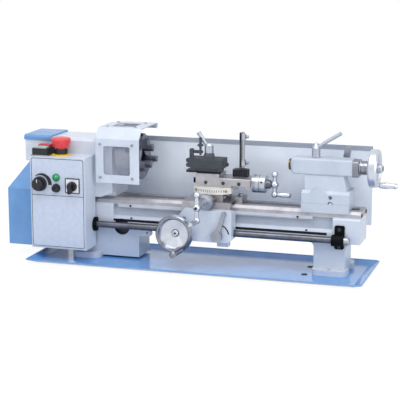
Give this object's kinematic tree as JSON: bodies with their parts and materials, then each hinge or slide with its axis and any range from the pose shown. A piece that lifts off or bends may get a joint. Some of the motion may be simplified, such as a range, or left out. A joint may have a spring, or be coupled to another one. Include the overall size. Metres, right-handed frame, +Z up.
{
  "type": "bench metal lathe",
  "caption": "Small bench metal lathe: bed on a chip tray, headstock with jaw chuck and guard, carriage with cross and top slides, tailstock, lead screw and control box.",
  "frame": {"origin": "underside of the chip tray, under the spindle axis, at the middle of the tray's length", "axes": "+X along the bed from headstock to tailstock, +Y to the back, +Z up"},
  "size_m": [0.8475, 0.281, 0.2975],
  "materials": {
    "casting_paint": "light blue-grey machine enamel",
    "white_paint": "off-white powder coat",
    "blue_paint": "blue powder coat",
    "ground_steel": "ground or turned bright steel",
    "dark_steel": "blackened steel",
    "black_paint": "black enamel",
    "clear_sheet": "clear polycarbonate sheet",
    "cream_band": "cream graduated band on a cast base",
    "bronze": "plain bronze",
    "belt_rubber": "black drive belt",
    "black_plastic": "black moulded plastic",
    "red_plastic": "red moulded plastic",
    "green_plastic": "green moulded plastic",
    "yellow_plastic": "yellow moulded plastic"
  },
  "bodies": {
    "frame": {"chip_tray": "blue_paint", "bed": "casting_paint", "rack": "dark_steel", "headstock": "white_paint", "spindle_bearings": "ground_steel", "head_cap": "blue_paint", "end_cover": "blue_paint", "gear_plate": "ground_steel", "motor": "dark_steel", "drive_belt": "belt_rubber", "lead_brackets": "black_paint", "control_box": "white_paint", "control_panel": "casting_paint", "switch_frame": "black_plastic", "stop_base": "yellow_plastic", "guard_hinge": "white_paint", "splash_guard": "white_paint"},
    "spindle": {"spindle": "ground_steel", "spindle_pulley": "dark_steel", "chuck_body": "dark_steel"},
    "jaw_1": {"chuck_jaw_1": "ground_steel"},
    "jaw_2": {"chuck_jaw_2": "ground_steel"},
    "jaw_3": {"chuck_jaw_3": "ground_steel"},
    "motor_rotor": {"motor_pulley": "ground_steel"},
    "idler_1": {"idler_gear_1": "ground_steel"},
    "idler_2": {"idler_gear_2": "ground_steel"},
    "lead": {"lead_screw": "ground_steel"},
    "guard": {"chuck_guard": "white_paint", "guard_windows": "clear_sheet"},
    "carriage": {"saddle": "casting_paint", "apron": "casting_paint", "keeper_plate": "dark_steel"},
    "apron_handwheel": {"apron_wheel": "ground_steel"},
    "apron_idler": {"apron_idler": "ground_steel"},
    "pinion": {"rack_pinion": "ground_steel"},
    "nut_lever": {"half_nut_lever": "dark_steel"},
    "upper_nut": {"upper_half_nut": "bronze"},
    "lower_nut": {"lower_half_nut": "bronze"},
    "cross_slide": {"cross_slide": "ground_steel"},
    "cross_drive": {"cross_crank": "ground_steel", "cross_dial": "ground_steel"},
    "swivel": {"swivel_base": "cream_band"},
    "top_slide": {"top_slide": "casting_paint", "shield_post": "black_paint"},
    "top_drive": {"top_crank": "ground_steel", "top_dial": "ground_steel"},
    "tool_post": {"tool_post": "dark_steel"},
    "post_lever": {"tool_post_lever": "ground_steel"},
    "shield": {"tool_shield": "clear_sheet"},
    "tailstock": {"tail_base": "casting_paint", "tail_body": "casting_paint"},
    "quill": {"quill": "ground_steel"},
    "tail_handwheel": {"tail_wheel": "ground_steel"},
    "quill_lock": {"quill_lock": "dark_steel"},
    "tail_clamp": {"tail_clamp": "dark_steel"},
    "start_button": {"start_button": "green_plastic"},
    "stop_button": {"stop_button": "red_plastic"},
    "emergency_stop": {"stop_mushroom": "red_plastic"},
    "speed_knob": {"speed_knob": "black_plastic"},
    "direction_knob": {"direction_knob": "black_plastic"}
  },
  "joints": [
    {"name": "spindle_turn", "type": "hinge", "parent": "frame", "child": "spindle", "pos_m": [-0.2, 0, 0.224], "axis": [1, 0, 0], "continuous": true},
    {"name": "jaw_1_slide", "type": "slide", "parent": "spindle", "child": "jaw_1", "axis": [0, -0.1736, 0.9848], "range_m": [-0.006, 0.006]},
    {"name": "jaw_2_slide", "type": "slide", "parent": "spindle", "child": "jaw_2", "axis": [0, -0.766, -0.6428], "range_m": [-0.006, 0.006]},
    {"name": "jaw_3_slide", "type": "slide", "parent": "spindle", "child": "jaw_3", "axis": [0, 0.9397, -0.342], "range_m": [-0.006, 0.006]},
    {"name": "motor_turn", "type": "hinge", "parent": "frame", "child": "motor_rotor", "pos_m": [-0.38, 0.072, 0.1], "axis": [1, 0, 0], "continuous": true},
    {"name": "idler_1_turn", "type": "hinge", "parent": "frame", "child": "idler_1", "pos_m": [-0.375, -0.00481, 0.17624], "axis": [1, 0, 0], "continuous": true},
    {"name": "idler_2_turn", "type": "hinge", "parent": "frame", "child": "idler_2", "pos_m": [-0.375, -0.02272, 0.11898], "axis": [1, 0, 0], "continuous": true},
    {"name": "lead_screw_turn", "type": "hinge", "parent": "frame", "child": "lead", "pos_m": [0, -0.046, 0.077], "axis": [1, 0, 0], "continuous": true},
    {"name": "guard_swing", "type": "hinge", "parent": "frame", "child": "guard", "pos_m": [-0.18, 0.057, 0.284], "axis": [-1, 0, 0], "range_deg": [0, 95]},
    {"name": "carriage_slide", "type": "slide", "parent": "frame", "child": "carriage", "axis": [1, 0, 0], "range_m": [-0.07, 0.025]},
    {"name": "apron_wheel_turn", "type": "hinge", "parent": "carriage", "child": "apron_handwheel", "pos_m": [-0.0425, -0.08, 0.0775], "axis": [0, 1, 0], "range_deg": [-145, 403]},
    {"name": "apron_idler_turn", "type": "hinge", "parent": "carriage", "child": "apron_idler", "pos_m": [-0.03046, -0.058, 0.09187], "axis": [0, 1, 0], "range_deg": [-460, 165]},
    {"name": "rack_pinion_turn", "type": "hinge", "parent": "carriage", "child": "pinion", "pos_m": [-0.027, -0.045, 0.10775], "axis": [0, 1, 0], "range_deg": [-192, 536]},
    {"name": "half_nut_lever_turn", "type": "hinge", "parent": "carriage", "child": "nut_lever", "pos_m": [0.046, -0.075, 0.075], "axis": [0, 1, 0], "range_deg": [0, 50]},
    {"name": "upper_nut_slide", "type": "slide", "parent": "carriage", "child": "upper_nut", "axis": [0, 0, -1], "range_m": [0, 0.005]},
    {"name": "lower_nut_slide", "type": "slide", "parent": "carriage", "child": "lower_nut", "axis": [0, 0, 1], "range_m": [0, 0.005]},
    {"name": "cross_slide_move", "type": "slide", "parent": "carriage", "child": "cross_slide", "axis": [0, -1, 0], "range_m": [-0.03, 0.012]},
    {"name": "cross_crank_turn", "type": "hinge", "parent": "carriage", "child": "cross_drive", "pos_m": [0.0195, -0.1, 0.145], "axis": [0, -1, 0], "range_deg": [-5410, 2170]},
    {"name": "swivel_turn", "type": "hinge", "parent": "cross_slide", "child": "swivel", "pos_m": [0.022, 0, 0.16], "axis": [0, 0, -1], "range_deg": [-10, 50]},
    {"name": "top_slide_move", "type": "slide", "parent": "swivel", "child": "top_slide", "axis": [-1, 0, 0], "range_m": [-0.02, 0.025]},
    {"name": "top_crank_turn", "type": "hinge", "parent": "top_slide", "child": "top_drive", "pos_m": [0.12, 0, 0.178], "axis": [-1, 0, 0], "range_deg": [-3610, 4510]},
    {"name": "tool_post_turn", "type": "hinge", "parent": "top_slide", "child": "tool_post", "pos_m": [0.007, 0, 0.215], "axis": [0, 0, 1], "continuous": true},
    {"name": "post_lever_turn", "type": "hinge", "parent": "top_slide", "child": "post_lever", "pos_m": [0.007, 0, 0.245], "axis": [0, 0, 1], "range_deg": [-90, 60]},
    {"name": "shield_swing", "type": "hinge", "parent": "top_slide", "child": "shield", "pos_m": [0.076, 0.02, 0.24], "axis": [0, 0, 1], "range_deg": [0, 60]},
    {"name": "tailstock_slide", "type": "slide", "parent": "frame", "child": "tailstock", "axis": [1, 0, 0], "range_m": [-0.02, 0.022]},
    {"name": "tail_wheel_turn", "type": "hinge", "parent": "tailstock", "child": "tail_handwheel", "pos_m": [0.35, 0, 0.224], "axis": [-1, 0, 0], "range_deg": [-1800, 8100]},
    {"name": "quill_slide", "type": "slide", "parent": "tailstock", "child": "quill", "axis": [-1, 0, 0], "range_m": [-0.0101, 0.0451]},
    {"name": "quill_lock_turn", "type": "hinge", "parent": "tailstock", "child": "quill_lock", "pos_m": [0.24, 0, 0.255], "axis": [0, 0, 1], "range_deg": [-60, 60]},
    {"name": "tail_clamp_turn", "type": "hinge", "parent": "tailstock", "child": "tail_clamp", "pos_m": [0.286, 0.038, 0.162], "axis": [0, 1, 0], "range_deg": [-60, 15]},
    {"name": "start_press", "type": "slide", "parent": "frame", "child": "start_button", "axis": [0, 0, -1], "range_m": [0, 0.003], "stiffness_N_per_m": 600},
    {"name": "stop_press", "type": "slide", "parent": "frame", "child": "stop_button", "axis": [0, 0, -1], "range_m": [0, 0.003], "stiffness_N_per_m": 600},
    {"name": "emergency_press", "type": "slide", "parent": "frame", "child": "emergency_stop", "axis": [0, 0, -1], "range_m": [0, 0.004], "stiffness_N_per_m": 1500},
    {"name": "speed_turn", "type": "hinge", "parent": "frame", "child": "speed_knob", "pos_m": [-0.3435, -0.105, 0.17], "axis": [0, 1, 0], "range_deg": [-135, 135]},
    {"name": "direction_turn", "type": "hinge", "parent": "frame", "child": "direction_knob", "pos_m": [-0.2685, -0.105, 0.168], "axis": [0, 1, 0], "range_deg": [-60, 60]}
  ],
  "couplings": [
    {"joint": "jaw_2_slide", "follows": "jaw_1_slide", "ratio": 1},
    {"joint": "jaw_3_slide", "follows": "jaw_1_slide", "ratio": 1},
    {"joint": "motor_turn", "follows": "spindle_turn", "ratio": 2.1538},
    {"joint": "idler_1_turn", "follows": "spindle_turn", "ratio": -0.6},
    {"joint": "idler_2_turn", "follows": "spindle_turn", "ratio": 0.6},
    {"joint": "lead_screw_turn", "follows": "spindle_turn", "ratio": -1},
    {"joint": "apron_wheel_turn", "follows": "carriage_slide", "rad_per_m": -100},
    {"joint": "apron_idler_turn", "follows": "carriage_slide", "rad_per_m": 114.29},
    {"joint": "rack_pinion_turn", "follows": "carriage_slide", "rad_per_m": -133.33},
    {"joint": "upper_nut_slide", "follows": "half_nut_lever_turn", "m_per_rad": 0.005729},
    {"joint": "lower_nut_slide", "follows": "half_nut_lever_turn", "m_per_rad": 0.005729},
    {"joint": "cross_crank_turn", "follows": "cross_slide_move", "rad_per_m": 3141.6},
    {"joint": "top_crank_turn", "follows": "top_slide_move", "rad_per_m": 3141.6},
    {"joint": "quill_slide", "follows": "tail_wheel_turn", "m_per_rad": 0.00031831}
  ]
}
